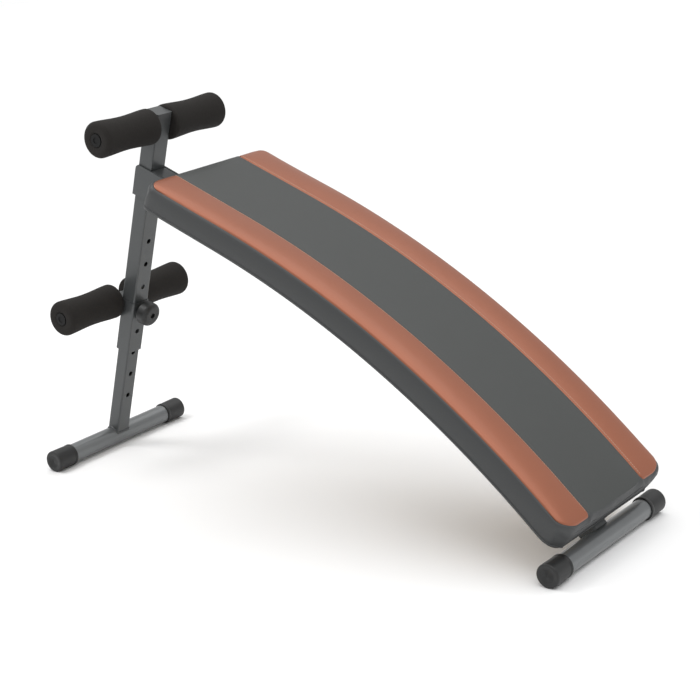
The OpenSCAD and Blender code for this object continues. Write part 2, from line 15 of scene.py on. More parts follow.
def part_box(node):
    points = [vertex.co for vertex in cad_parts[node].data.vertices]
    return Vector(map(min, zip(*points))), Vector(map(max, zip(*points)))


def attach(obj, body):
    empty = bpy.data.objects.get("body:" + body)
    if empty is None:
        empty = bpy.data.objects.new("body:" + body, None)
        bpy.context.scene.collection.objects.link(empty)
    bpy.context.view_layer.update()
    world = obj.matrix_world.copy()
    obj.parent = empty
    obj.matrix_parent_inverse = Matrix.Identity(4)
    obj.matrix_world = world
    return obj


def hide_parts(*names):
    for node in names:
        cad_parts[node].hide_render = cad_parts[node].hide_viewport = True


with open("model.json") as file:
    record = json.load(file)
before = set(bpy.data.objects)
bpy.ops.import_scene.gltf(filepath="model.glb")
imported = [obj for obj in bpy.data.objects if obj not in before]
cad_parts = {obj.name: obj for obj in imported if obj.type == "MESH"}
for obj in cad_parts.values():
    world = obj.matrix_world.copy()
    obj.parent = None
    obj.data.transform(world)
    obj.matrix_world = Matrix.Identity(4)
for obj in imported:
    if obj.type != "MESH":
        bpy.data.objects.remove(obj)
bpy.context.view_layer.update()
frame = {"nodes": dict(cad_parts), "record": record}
scene = bpy.context.scene
record = frame["record"]
joints = {joint["name"]: joint for joint in record["behaviour"]["joints"]}

# %% [markdown]
# The pad follows the frame tube's centre line: a straight lead, then an arc down to the head floor
# tube. The same few sizes that the tube was bent to are enough, because the floor tubes' places come
# from the model.

# %% The bench's centre line
MM = 0.001


def middle(node):
    """The middle of a part's box: half the sum of its two corners."""
    low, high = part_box(node)
    return (np.array(low) + np.array(high)) / 2


leg_foot = middle("leg_foot_tube")
head_foot = middle("head_foot_tube")
up = np.array(joints["leg_slide"]["axis"], float)
LEAD_TILT = math.radians(21.3)
BEND_R = 1960 * MM
FRAME_UP = 594 * MM
FOOT_RISE = 8 * MM
lead_along = np.array([math.cos(LEAD_TILT), 0, -math.sin(LEAD_TILT)])
lead_normal = np.array([math.sin(LEAD_TILT), 0, math.cos(LEAD_TILT)])
line_start = leg_foot + FRAME_UP * up
to_foot = head_foot - (line_start + FOOT_RISE * lead_normal)
bend_angle = math.acos(1 + to_foot @ lead_normal / (BEND_R + FOOT_RISE))
arc_reach = math.sin(LEAD_TILT + bend_angle) - math.sin(LEAD_TILT)
lead_length = (to_foot[0] - (BEND_R + FOOT_RISE) * arc_reach) / math.cos(LEAD_TILT)
bend_start = line_start + lead_length * lead_along
arc_centre = bend_start - BEND_R * lead_normal
print("lead", round(lead_length, 4), "m, arc", round(math.degrees(bend_angle), 2), "degrees")


def on_line(station, across, height):
    """A point at a station along the centre line, across the bench, and a height square to the line.

    Before the bend, start + station * along + height * normal. After it, the arc's centre plus
    (radius + height) * (sin a, cos a), where a is the lead's tilt plus station / radius."""
    station, across, height = np.broadcast_arrays(station, across, height)
    angle = LEAD_TILT + np.maximum(station, 0) / BEND_R
    straight = np.minimum(station, 0)
    x = arc_centre[0] + (BEND_R + height) * np.sin(angle) + straight * lead_along[0]
    z = arc_centre[2] + (BEND_R + height) * np.cos(angle) + straight * lead_along[2]
    return np.stack([x, across + 0 * x, z], axis=-1)


# %% [markdown]
# A surface here is a grid of points, computed all at once. The helpers below join neighbouring points
# with four-sided faces, wrap the grid round in either direction, and turn the faces outwards.

# %% Grids into meshes
def quads(rows, cols, wrap_rows=False, wrap_cols=False):
    """Corner numbers of the faces between neighbouring grid points, as (faces, 4)."""
    r = np.arange(rows if wrap_rows else rows - 1)
    c = np.arange(cols if wrap_cols else cols - 1)
    r, c = (a.ravel() for a in np.meshgrid(r, c, indexing="ij"))
    r2, c2 = (r + 1) % rows, (c + 1) % cols
    return np.stack([r * cols + c, r * cols + c2, r2 * cols + c2, r2 * cols + c], axis=1)


def new_piece(name, points, faces, material=None, extra_faces=()):
    """A mesh object from points (n, 3) and faces, smooth shaded, at the origin."""
    mesh = bpy.data.meshes.new(name)
    faces = [tuple(f) for f in np.asarray(faces).tolist()] + [tuple(f) for f in extra_faces]
    mesh.from_pydata(np.asarray(points, float).reshape(-1, 3).tolist(), [], faces)
    mesh.polygons.foreach_set("use_smooth", np.ones(len(mesh.polygons), bool))
    mesh.update()
    piece = bpy.data.objects.new(name, mesh)
    scene.collection.objects.link(piece)
    if material:
        mesh.materials.append(material)
    return piece


def spun(name, profile, centre, axis, material, turns=96):
    """A closed profile of (along, radius) turned round an axis: centre + along * axis + radius * dir."""
    axis = np.array(axis, float) / np.linalg.norm(axis)
    side = np.cross(axis, [0, 0, 1.0] if abs(axis[2]) < 0.9 else [1.0, 0, 0])
    side /= np.linalg.norm(side)
    third = np.cross(axis, side)
    angle = np.linspace(0, 2 * np.pi, turns, endpoint=False)
    ring = np.cos(angle)[:, None] * side + np.sin(angle)[:, None] * third
    along, radius = np.array(profile, float).T
    points = centre + along[:, None, None] * axis + radius[:, None, None] * ring
    faces = quads(len(profile), turns, wrap_rows=True, wrap_cols=True)
    return new_piece(name, points, face_out(points.reshape(-1, 3), faces), material)


def enclosed(points, faces):
    """Six times the signed volume inside four-sided faces: the sum of a . (b x c) over triangles."""
    p = points[faces]
    half_a = np.einsum("ij,ij->i", p[:, 0], np.cross(p[:, 1], p[:, 2]))
    half_b = np.einsum("ij,ij->i", p[:, 0], np.cross(p[:, 2], p[:, 3]))
    return half_a.sum() + half_b.sum()


def face_out(points, faces):
    """The faces, reversed if the closed surface they make has a negative volume."""
    return faces if enclosed(points, faces) > 0 else faces[:, ::-1]


def path_length(points):
    """The distance along a line of points up to each one: the running sum of its steps."""
    return np.concatenate([[0], np.cumsum(np.linalg.norm(np.diff(points, axis=0), axis=1))])


def arc_points(centre, radius, start, end, steps):
    """Points (along, radius) on an arc: centre + radius * (cos a, sin a), a in degrees."""
    a = np.radians(np.linspace(start, end, steps))
    return [(centre[0] + radius * c, centre[1] + radius * s) for c, s in zip(np.cos(a), np.sin(a))]


# %% [markdown]
# Leatherette, powder coat, moulded plastic and foam all owe their look to small relief. Each kind of
# relief is one node group that turns Object coordinates into a height and a faint colour mask. The
# materials feed the height to a Bump node and mix the mask into their own colour.

# %% Relief as node groups
def node_group(name, inputs, outputs):
    """A shader node group with float inputs {name: default} and float outputs, plus a vector input."""
    tree = bpy.data.node_groups.new(name, "ShaderNodeTree")
    tree.interface.new_socket("Place", in_out="INPUT", socket_type="NodeSocketVector")
    for key, value in inputs.items():
        socket = tree.interface.new_socket(key, in_out="INPUT", socket_type="NodeSocketFloat")
        socket.default_value = value
    for key in outputs:
        tree.interface.new_socket(key, in_out="OUTPUT", socket_type="NodeSocketFloat")
    return tree, tree.nodes.new("NodeGroupInput"), tree.nodes.new("NodeGroupOutput")


def feed(tree, socket, value):
    """Sets an input socket to a number, or links another socket to it."""
    if isinstance(value, (int, float)):
        socket.default_value = value
    else:
        tree.links.new(value, socket)


def maths(tree, operation, a, b):
    """A Math node of two values, each a socket or a number; returns its result."""
    node = tree.nodes.new("ShaderNodeMath")
    node.operation = operation
    for socket, value in zip(node.inputs, (a, b)):
        feed(tree, socket, value)
    return node.outputs[0]


def noise(tree, place, scale, detail=3.0, roughness=0.5):
    """A Noise Texture's value at a place; the scale is a socket or a number."""
    node = tree.nodes.new("ShaderNodeTexNoise")
    node.inputs["Detail"].default_value = detail
    node.inputs["Roughness"].default_value = roughness
    tree.links.new(place, node.inputs["Vector"])
    feed(tree, node.inputs["Scale"], scale)
    return node.outputs[0]


def cells(tree, place, scale, feature="F1"):
    """A Voronoi Texture's distance at a place; the scale is a socket or a number."""
    node = tree.nodes.new("ShaderNodeTexVoronoi")
    node.feature = feature
    tree.links.new(place, node.inputs["Vector"])
    feed(tree, node.inputs["Scale"], scale)
    return node.outputs["Distance"]


def leather_relief():
    """Pebbled grain: cell borders at the grain's scale, with soft dents many cells wide."""
    tree, into, out = node_group("leather_relief", {"Grain": 700.0}, ("Height", "Mask"))
    place = into.outputs["Place"]
    border = cells(tree, place, into.outputs["Grain"], "DISTANCE_TO_EDGE")
    pebble = maths(tree, "MINIMUM", maths(tree, "MULTIPLY", border, 3.0), 1.0)
    dents = noise(tree, place, 28.0, 4.0)
    tree.links.new(maths(tree, "ADD", pebble, maths(tree, "MULTIPLY", dents, 1.6)), out.inputs["Height"])
    tree.links.new(noise(tree, place, 9.0, 5.0, 0.6), out.inputs["Mask"])
    return tree


def powder_relief():
    """Orange peel: soft noise near two millimetres across, with finer grit on top."""
    tree, into, out = node_group("powder_relief", {"Peel": 420.0}, ("Height", "Mask"))
    place = into.outputs["Place"]
    peel = noise(tree, place, into.outputs["Peel"], 2.0)
    grit = noise(tree, place, 2600.0, 2.0)
    tree.links.new(maths(tree, "ADD", peel, maths(tree, "MULTIPLY", grit, 0.35)), out.inputs["Height"])
    tree.links.new(noise(tree, place, 14.0, 4.0), out.inputs["Mask"])
    return tree


def foam_relief():
    """Open pores: small pits where cells meet, over a slow unevenness of the skin."""
    tree, into, out = node_group("foam_relief", {"Pores": 900.0}, ("Height", "Mask"))
    place = into.outputs["Place"]
    pit = cells(tree, place, into.outputs["Pores"])
    skin = noise(tree, place, 60.0, 5.0, 0.65)
    tree.links.new(maths(tree, "ADD", pit, maths(tree, "MULTIPLY", skin, 2.2)), out.inputs["Height"])
    tree.links.new(noise(tree, place, 240.0, 4.0, 0.7), out.inputs["Mask"])
    return tree


LEATHER = leather_relief()
POWDER = powder_relief()
FOAM = foam_relief()
print("relief groups:", LEATHER.name, POWDER.name, FOAM.name)


# %% [markdown]
# A finish is a Principled shader whose colour drifts a little between two near shades, and whose
# light catches the relief. Values that are the same all over, such as roughness or metal, are set on
# the shader's own sockets.

# %% Finishes
def finish(name, shade, drift, relief, scale_name, scale, depth, bump=0.35, coat=0.0, **sockets):
    """A material: colour = shade mixed with shade * drift by the relief's mask, bump of a given depth."""
    material = bpy.data.materials.new(name)
    material.use_nodes = True
    tree = material.node_tree
    shader = tree.nodes["Principled BSDF"]
    for key, value in sockets.items():
        shader.inputs[key.replace("_", " ").title()].default_value = value
    shader.inputs["Coat Weight"].default_value = coat
    group = tree.nodes.new("ShaderNodeGroup")
    group.node_tree = relief
    group.inputs[scale_name].default_value = scale
    place = tree.nodes.new("ShaderNodeTexCoord")
    tree.links.new(place.outputs["Object"], group.inputs["Place"])
    mix = tree.nodes.new("ShaderNodeMix")
    mix.data_type = "RGBA"
    mix.inputs["A"].default_value = (*shade, 1)
    mix.inputs["B"].default_value = (*[min(1, s * drift) for s in shade], 1)
    tree.links.new(group.outputs["Mask"], mix.inputs["Factor"])
    tree.links.new(mix.outputs["Result"], shader.inputs["Base Color"])
    bumps = tree.nodes.new("ShaderNodeBump")
    bumps.inputs["Strength"].default_value = bump
    bumps.inputs["Distance"].default_value = depth
    tree.links.new(group.outputs["Height"], bumps.inputs["Height"])
    tree.links.new(bumps.outputs["Normal"], shader.inputs["Normal"])
    return material


# The frame and its floor tubes wear one satin paint in two copies: the frame's copy is darkened as painted
# shade for the uprights' dim sides, and the floor tubes' copy is lightened as painted light for the broad
# highlight along their tops.
paint = finish("satin_grey_paint", (0.062, 0.066, 0.0675), 1.16, POWDER, "Peel", 420, 0.00012,
               roughness=0.34, metallic=0.25, coat=0.12)
foot_paint_painted_light = finish("foot_tube_paint_painted_light", (0.145, 0.152, 0.155), 1.16, POWDER, "Peel", 420, 0.00012,
                    roughness=0.3, metallic=0.35, coat=0.2)
plastic = finish("moulded_black", (0.0095, 0.0098, 0.01), 1.6, POWDER, "Peel", 900, 0.0001,
                 roughness=0.48)
# The plugs are the same black plastic, coloured darker still as painted shade on their front-lit end faces.
plug_plastic_painted_shade = finish("plug_black_painted_shade", (0.004, 0.004, 0.004), 1.4, POWDER, "Peel", 900, 0.0001,
                      roughness=0.6)
roller_foam = finish("roller_foam", (0.0125, 0.0112, 0.0102), 1.9, FOAM, "Pores", 900, 0.0004,
                     bump=0.6, roughness=0.9)
charcoal = finish("charcoal_leatherette", (0.039, 0.042, 0.0405), 1.12, LEATHER, "Grain", 650, 0.0003,
                  bump=0.3, roughness=0.5)
side_leather = finish("side_leatherette", (0.036, 0.038, 0.039), 1.12, LEATHER, "Grain", 650, 0.0003,
                      bump=0.3, roughness=0.5)
copper = finish("copper_leatherette", (0.29, 0.096, 0.049), 1.12, LEATHER, "Grain", 800, 0.0002,
                bump=0.22, roughness=0.34, metallic=0.4, coat=0.1)
zinc = finish("zinc_plate", (0.52, 0.52, 0.53), 0.86, POWDER, "Peel", 1200, 0.00005,
              roughness=0.34, metallic=0.9)
thread = finish("sewing_thread", (0.5, 0.31, 0.22), 1.2, POWDER, "Peel", 3000, 0.0001, roughness=0.7)
for dull in (plug_plastic_painted_shade, roller_foam):
    dull.node_tree.nodes["Principled BSDF"].inputs["Specular IOR Level"].default_value = 0.25


def plywood():
    """Face veneer: long wavering grain along the board, with darker streaks."""
    material = finish("birch_ply", (0.5, 0.36, 0.2), 0.72, POWDER, "Peel", 300, 0.0001, roughness=0.65)
    tree = material.node_tree
    place = next(n for n in tree.nodes if n.bl_idname == "ShaderNodeTexCoord")
    stretch = tree.nodes.new("ShaderNodeMapping")
    stretch.inputs["Scale"].default_value = (0.8, 14.0, 0.8)
    tree.links.new(place.outputs["Object"], stretch.inputs["Vector"])
    grain = noise(tree, stretch.outputs["Vector"], 9.0, 6.0, 0.65)
    mix = next(n for n in tree.nodes if n.bl_idname == "ShaderNodeMix")
    tree.links.new(grain, mix.inputs["Factor"])
    return material


ply = plywood()
finish_of_slot = {
    "frame_paint": paint, "black_plastic": plastic, "roller_foam": roller_foam, "zinc_steel": zinc,
    "cover_charcoal": charcoal, "cover_copper": copper, "cover_side": side_leather,
    "cushion_foam": side_leather, "plywood": ply,
}
print("finishes:", len(finish_of_slot))

# %% [markdown]
# The rigid parts keep the shape they were designed with. Their meshes arrive as loose triangles, so a
# Weld joins them. A node tree then shades them smooth but leaves an edge sharp where the faces turn
# more than thirty degrees, and weighted normals keep the tubes' flat sides flat. Nothing in the meshes
# themselves is touched.

# %% Finishes on the rigid parts
SHARP_TURN = math.radians(30)
WELD_WITHIN = 0.01 * MM


def smooth_but_sharp():
    """A geometry node tree: faces smooth, and edges sharp where the angle is above the limit."""
    tree = bpy.data.node_groups.new("smooth_but_sharp", "GeometryNodeTree")
    tree.interface.new_socket("Geometry", in_out="INPUT", socket_type="NodeSocketGeometry")
    tree.interface.new_socket("Geometry", in_out="OUTPUT", socket_type="NodeSocketGeometry")
    faces = tree.nodes.new("GeometryNodeSetShadeSmooth")
    edges = tree.nodes.new("GeometryNodeSetShadeSmooth")
    edges.domain = "EDGE"
    edges.inputs["Shade Smooth"].default_value = False
    angle = tree.nodes.new("GeometryNodeInputMeshEdgeAngle")
    limit = tree.nodes.new("FunctionNodeCompare")
    limit.operation = "GREATER_THAN"
    limit.inputs[1].default_value = SHARP_TURN
    tree.links.new(angle.outputs["Unsigned Angle"], limit.inputs[0])
    tree.links.new(limit.outputs["Result"], edges.inputs["Selection"])
    tree.links.new(tree.nodes.new("NodeGroupInput").outputs[0], faces.inputs["Geometry"])
    tree.links.new(faces.outputs[0], edges.inputs["Geometry"])
    tree.links.new(edges.outputs[0], tree.nodes.new("NodeGroupOutput").inputs[0])
    return tree


SMOOTH = smooth_but_sharp()


def dress(part, material):
    """Puts a finish on a rigid part and sets how its faces are shaded."""
    part.data.materials.clear()
    part.data.materials.append(material)
    weld = part.modifiers.new("weld", "WELD")
    weld.merge_threshold = WELD_WITHIN
    shade = part.modifiers.new("smooth", "NODES")
    shade.node_group = SMOOTH
    weigh = part.modifiers.new("weigh", "WEIGHTED_NORMAL")
    weigh.keep_sharp = True


for row in record["subparts"]:
    own = finish_of_slot[row["material_slot"]]
    # The floor tubes take the lighter copy of the paint: painted light for the highlight along their tops.
    if row["node"].endswith("foot_tube"):
        own = foot_paint_painted_light
    # The plugs take the darker copy of the black plastic: painted shade.
    if "plug" in row["node"]:
        own = plug_plastic_painted_shade
    dress(frame["nodes"][row["node"]], own)
print("dressed", len(record["subparts"]), "parts")

# %% [markdown]
# The foam rollers are spools: full at both ends, with a shallow waist, so that they centre the shins.
# A profile is turned round the bar. The waist is a broad cosine dip, and the ends roll over a radius.

# %% Foam rollers
ROLLER_R = 35 * MM
ROLLER_DIP = 2.9 * MM
OUTER_EDGE = 9 * MM
INNER_EDGE = 6 * MM
BAR_R = 12.5 * MM
BORE_GAP = 0.3 * MM


def roller_profile(length, bore):
    """(along, radius) from the inner end: rolled edges, a waist of dip * ((1 - cos)/2)^0.8, the bore."""
    first = arc_points((INNER_EDGE, ROLLER_R - INNER_EDGE), INNER_EDGE, 180, 90, 8)
    last = arc_points((length - OUTER_EDGE, ROLLER_R - OUTER_EDGE), OUTER_EDGE, 90, 0, 10)
    along = np.linspace(INNER_EDGE, length - OUTER_EDGE, 40)[1:-1]
    part = (along - INNER_EDGE) / (length - OUTER_EDGE - INNER_EDGE)
    waist = ROLLER_R - ROLLER_DIP * (0.5 - 0.5 * np.cos(2 * np.pi * part)) ** 0.8
    mouth = [(2.2 * MM, bore), (0.9 * MM, bore + 1.5 * MM), (0.0, bore + 5 * MM)]
    end = [(length - a, r) for a, r in reversed(mouth)]
    return mouth + first + list(zip(along, waist)) + last + end


for key in ("upper_foam_near", "upper_foam_far", "lower_foam_near", "lower_foam_far"):
    low, high = (np.array(corner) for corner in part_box(key))
    body = key.replace("foam", "roller")
    way = -1 if key.endswith("near") else 1
    inner_y = high[1] if way < 0 else low[1]
    centre = np.array([(low[0] + high[0]) / 2, inner_y, (low[2] + high[2]) / 2])
    profile = roller_profile(high[1] - low[1], BAR_R + BORE_GAP)
    roller = spun(key + "_skin", profile, centre, (0, way, 0), roller_foam)
    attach(roller, body)
    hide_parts(key)
    print(key, "on", body)

# %% [markdown]
# The floor tubes end in moulded caps. Each is a cup pushed over the tube: a lip round its mouth, a
# rolled rim, and a dished end face.

# %% End caps
CAP_R = 21.75 * MM
TUBE_R = 19 * MM


def cap_profile(length):
    """(along, radius) from the mouth outwards: lip, slight taper, rim, dish, then back inside."""
    rim = 3 * MM
    lip = 5.5 * MM
    proud = 0.35 * MM
    outer = [(0.0, CAP_R - 1.2 * MM), (0.9 * MM, CAP_R - 0.2 * MM), (1.8 * MM, CAP_R), (lip, CAP_R),
             (lip + 0.8 * MM, CAP_R - 2 * proud), (lip + 3 * MM, CAP_R - 2 * proud),
             (lip + 9 * MM, CAP_R - proud), (length - 2 * rim, CAP_R)]
    outer += arc_points((length - rim, CAP_R - rim), rim, 90, 0, 8)
    face = [(length, 13.6 * MM), (length - 0.4 * MM, 13.1 * MM), (length - 1.1 * MM, 12.6 * MM),
            (length - 1.2 * MM, 0.2 * MM)]
    inside = [(length - 4 * MM, 0.2 * MM), (length - 4 * MM, TUBE_R + 0.02 * MM), (0.0, TUBE_R + 0.02 * MM)]
    return outer + face + inside


for end in ("leg_foot_cap", "head_foot_cap"):
    for side, way in (("near", -1), ("far", 1)):
        low, high = (np.array(corner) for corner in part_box(f"{end}_{side}"))
        length = high[1] - low[1]
        mouth = np.array([(low[0] + high[0]) / 2, high[1] if way < 0 else low[1], (low[2] + high[2]) / 2])
        cap = spun(f"{end}_{side}_moulded", cap_profile(length), mouth, (0, way, 0), plastic)
        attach(cap, "leg" if end.startswith("leg") else "frame")
        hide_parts(f"{end}_{side}")
print("end caps made")

# %% [markdown]
# The pad is foam on a board, under a cover sewn from five pieces: a charcoal middle, two copper
# stripes, and a dark band that wraps the edges. It is laid out as one grid whose lines run exactly
# along the seams. Cloth then blows it up a little with the seams pinned, as the foam does on a real
# pad, and the grid is cut into its panels afterwards, so that each seam stays a clean line.

# %% The pad's layout
PAD_W = 341 * MM
PAD_TOP = 86 * MM
PAD_LOW = 31.1 * MM
EDGE_R = 15.5 * MM
SEAM_Y = 90 * MM
CORNER_LEG = 24 * MM
CORNER_HEAD = 34 * MM
SWELL = 2.0 * MM
STRIPE_LEG = 4.5 * MM
STRIPE_HEAD = 9 * MM
OUTER_CORNER = 28 * MM
INNER_CORNER = 9 * MM
PAD_START = 124 * MM
PAD_SHORT = 24 * MM
SIDE_EASE = 1.2 * MM
pad_first = PAD_START - lead_length
pad_last = BEND_R * bend_angle - PAD_SHORT
half_w = PAD_W / 2 - SIDE_EASE
flat_w = half_w - EDGE_R


def spread(marks, steps):
    """Numbers through the marks, with the given count of even steps between each pair."""
    parts = [np.linspace(a, b, n, endpoint=False) for a, b, n in zip(marks[:-1], marks[1:], steps)]
    return np.concatenate(parts + [[marks[-1]]])


def drawn_in(distance, radius):
    """How far a rounded corner has come in at a distance from the end: r - sqrt(r^2 - (r - d)^2)."""
    left = np.clip(radius - distance, 0, radius)
    return radius - np.sqrt(np.maximum(radius**2 - left**2, 0))


SEAM_STEPS = [9 * MM, 3.6 * MM, 1.5 * MM]
middle_y = spread([0] + [SEAM_Y - d for d in SEAM_STEPS] + [SEAM_Y], [8, 2, 1, 1])
stripe_y = spread([SEAM_Y] + [SEAM_Y + d for d in SEAM_STEPS[::-1]] + [flat_w], [1, 1, 2, 7])[1:]
roll = np.radians([11, 23, 34, 41, 45, 49, 57, 68, 79, 90])
side_share = np.linspace(0, 1, 8)[1:]
under_share = np.array([0.985, 0.95, 0.8, 0.6, 0.4, 0.2, 0.0])
seam_col = len(middle_y) - 1
flat_col = seam_col + len(stripe_y)
band_col = flat_col + 5
roll_col = flat_col + len(roll)
side_col = roll_col + len(side_share)

across0 = np.concatenate([middle_y, stripe_y, flat_w + EDGE_R * np.sin(roll),
                          np.full(len(side_share), half_w), half_w * under_share])
drop0 = np.concatenate([np.zeros(flat_col + 1), EDGE_R * (1 - np.cos(roll)),
                        np.full(len(side_share) + len(under_share), EDGE_R)])
tall = PAD_TOP - SWELL - EDGE_R - PAD_LOW
sink = np.concatenate([np.zeros(roll_col + 1), side_share, np.ones(len(under_share))])
widen = np.concatenate([np.zeros(len(middle_y)), (stripe_y - SEAM_Y) / (flat_w - SEAM_Y),
                        np.ones(len(roll) + len(side_share)), under_share])
print("section columns:", len(across0), "seam", seam_col, "band", band_col)

# %% [markdown]
# A stripe ends in a soft corner outside and a small one inside. The rows near each end of the grid are
# bent to follow those corners, so the end of a stripe is still one row of the grid.

# %% Rows and their bend at the corners
INNER_FADE = 30 * MM
QUARTER = np.array([0.1, 0.3, 0.5, 0.7, 0.86, 1]) * np.pi / 2
to_band = across0[band_col] - across0
to_seam = across0 - SEAM_Y
outside_fade = np.clip(1 - (np.arange(len(across0)) - band_col) / (side_col - band_col), 0, 1)
bent = drawn_in(to_band, OUTER_CORNER)
bent[band_col:] = OUTER_CORNER * outside_fade[band_col:] ** 1.5
bent = bent + np.where(to_seam >= 0, drawn_in(to_seam, INNER_CORNER),
                       INNER_CORNER * np.clip(1 + to_seam / INNER_FADE, 0, 1) ** 2)
BEND_REACH = 52 * MM
EVEN_FROM = 61 * MM


def rows_from(stripe_end):
    """Distances of rows from one end: a quarter cosine up to the stripe's end, then ever wider."""
    near_end = stripe_end * (1 - np.cos(QUARTER))
    beyond = stripe_end + np.array([1.5, 3.6, 7, 12, 18, 25, 33, 42, 51]) * MM
    return np.concatenate([near_end, beyond])


leg_rows = rows_from(STRIPE_LEG)
head_rows = rows_from(STRIPE_HEAD)
inner = np.linspace(pad_first + EVEN_FROM, pad_last - EVEN_FROM, 108)
stations = np.concatenate([pad_first + leg_rows, inner[1:-1], (pad_last - head_rows)[::-1]])
edge_gap = np.minimum(stations - pad_first, pad_last - stations)
leg_half = stations < 0.5 * (pad_first + pad_last)
own_end = np.where(leg_half, STRIPE_LEG, STRIPE_HEAD)
before = np.clip(edge_gap / own_end, 0, 1)
after = np.clip(1 - (edge_gap - own_end) / BEND_REACH, 0, 1)
pull = before * after
towards = np.where(leg_half, 1, -1)
station = stations[:, None] + (towards * pull)[:, None] * bent[None, :]
from_leg, from_head = station - pad_first, pad_last - station
plan = drawn_in(from_leg, CORNER_LEG) + drawn_in(from_head, CORNER_HEAD)
fall = drawn_in(from_leg, EDGE_R) + drawn_in(from_head, EDGE_R)
across = across0[None, :] - widen[None, :] * plan
height = PAD_TOP - SWELL - drop0[None, :] - sink[None, :] * tall - (1 - sink[None, :]) * fall
half_grid = np.stack([station, across, height], axis=-1)
mirrored = half_grid[:, ::-1][:, 1:-1] * [1, -1, 1]
pad_grid = np.concatenate([half_grid, mirrored], axis=1)
rows, cols = pad_grid.shape[:2]
print("pad grid", rows, "by", cols)

# %% [markdown]
# The cloth step holds the seams, the ends' stripe lines and the whole underside, and lets pressure
# fill the rest. Gravity is off, because the foam carries the cover. Travel is capped, so that the pad
# keeps its size.

# %% Blow up the cover
SWELL_CAP = 3.2 * MM
CLOTH_FRAMES = 20
flat_points = on_line(pad_grid[..., 0], pad_grid[..., 1], pad_grid[..., 2])
end_caps = [tuple(range(cols))[::-1], tuple((rows - 1) * cols + np.arange(cols))]
stripe_rows = [len(QUARTER) - 1, rows - len(QUARTER)]


def seam_hold():
    """1 where the cover is held: seam columns, stripe end rows and the underside; 0 elsewhere."""
    hold = np.zeros((rows, cols))
    for col in (seam_col, band_col):
        hold[:, [col, cols - col]] = 1
    for row in stripe_rows:
        hold[row] = 1
    hold[:, side_col:cols - side_col + 1] = 1
    return hold


def turn_outward(piece):
    """Turns a closed mesh's faces outwards if they point in."""
    work = bmesh.new()
    work.from_mesh(piece.data)
    if work.calc_volume(signed=True) < 0:
        bmesh.ops.reverse_faces(work, faces=work.faces)
    work.to_mesh(piece.data)
    work.free()


def blown(points):
    """The grid's points after cloth pressure, each moved no further than the cap."""
    piece = new_piece("cover_blank", points, quads(rows, cols, wrap_cols=True), extra_faces=end_caps)
    bpy.context.view_layer.objects.active = piece
    turn_outward(piece)
    group = piece.vertex_groups.new(name="held")
    held = np.flatnonzero(seam_hold().ravel() > 0).tolist()
    group.add(held, 1.0, "REPLACE")
    cloth = piece.modifiers.new("cloth", "CLOTH")
    cloth.settings.vertex_group_mass = "held"
    cloth.settings.quality = 5
    cloth.settings.use_pressure = True
    cloth.settings.uniform_pressure_force = 4
    cloth.settings.effector_weights.gravity = 0
    cloth.settings.tension_stiffness = 25
    cloth.settings.bending_stiffness = 2
    cloth.collision_settings.use_collision = False
    for number in range(1, CLOTH_FRAMES + 1):
        scene.frame_set(number)
    result = piece.evaluated_get(bpy.context.evaluated_depsgraph_get()).data
    moved = np.empty(len(result.vertices) * 3)
    result.vertices.foreach_get("co", moved)
    bpy.data.objects.remove(piece)
    scene.frame_set(1)
    travel = moved.reshape(-1, 3) - points.reshape(-1, 3)
    size = np.linalg.norm(travel, axis=1, keepdims=True)
    print("cloth moved up to", round(float(size.max()) / MM, 2), "mm")
    soft_cap = SWELL_CAP * np.tanh(size / SWELL_CAP)
    return (points.reshape(-1, 3) + travel / np.maximum(size, 1e-9) * soft_cap).reshape(points.shape)


cover = blown(flat_points)

# %% [markdown]
# Sewing pulls the cover down at a seam. The rows and columns next to each seam are drawn in by a
# bell-shaped dip, so that light catches the rolled edge of each panel.

# %% Draw in the seams
SEAM_DEPTH = 1.7 * MM
SEAM_WIDTH = 2.2 * MM


def grid_normals(points):
    """Unit normals of a grid: the cross product of its steps along and across, facing out."""
    along = np.gradient(points, axis=0)
    around = np.roll(points, -1, axis=1) - np.roll(points, 1, axis=1)
    normal = np.cross(along, around)
    normal /= np.maximum(np.linalg.norm(normal, axis=-1, keepdims=True), 1e-12)
    outward = points - points.mean(axis=1, keepdims=True)
    return normal * np.sign((normal * outward).sum(axis=-1).mean())


def sewn(points):
    """The points less depth * exp(-(distance to a seam / width)^2) along their normals."""
    normal = grid_normals(points)
    steps = np.linalg.norm(np.roll(points, -1, axis=1) - points, axis=-1)
    place = np.cumsum(steps, axis=1) - steps
    dip = np.zeros((rows, cols))
    for col in (seam_col, band_col, cols - seam_col, cols - band_col):
        dip = np.maximum(dip, np.exp(-(((place - place[:, col:col + 1]) / SEAM_WIDTH) ** 2)))
    numbers = np.arange(rows)
    inside = (numbers >= stripe_rows[0]) & (numbers <= stripe_rows[1])
    dip = dip * inside[:, None]
    top = np.zeros(cols, bool)
    top[seam_col:band_col + 1] = top[cols - band_col:cols - seam_col + 1] = True
    for row in stripe_rows:
        away = np.linalg.norm(points - points[row:row + 1], axis=-1)
        dip = np.maximum(dip, np.exp(-((away / SEAM_WIDTH) ** 2)) * top)
    return points - SEAM_DEPTH * dip[..., None] * normal


cover = sewn(cover)

# %% [markdown]
# The finished grid is cut into its five panels along the seam lines. Neighbours share the same line of
# points, so no gap opens, and each panel takes its own leather.

# %% Cut the panels
face_grid = quads(rows, cols, wrap_cols=True).reshape(rows - 1, cols, 4)
panel_of = np.full(face_grid.shape[:2], "band", dtype=object)
first, last = stripe_rows
panel_of[first:last, :seam_col] = "centre"
panel_of[first:last, cols - seam_col:] = "centre"
panel_of[first:last, seam_col:band_col] = "far"
panel_of[first:last, cols - band_col:cols - seam_col] = "near"


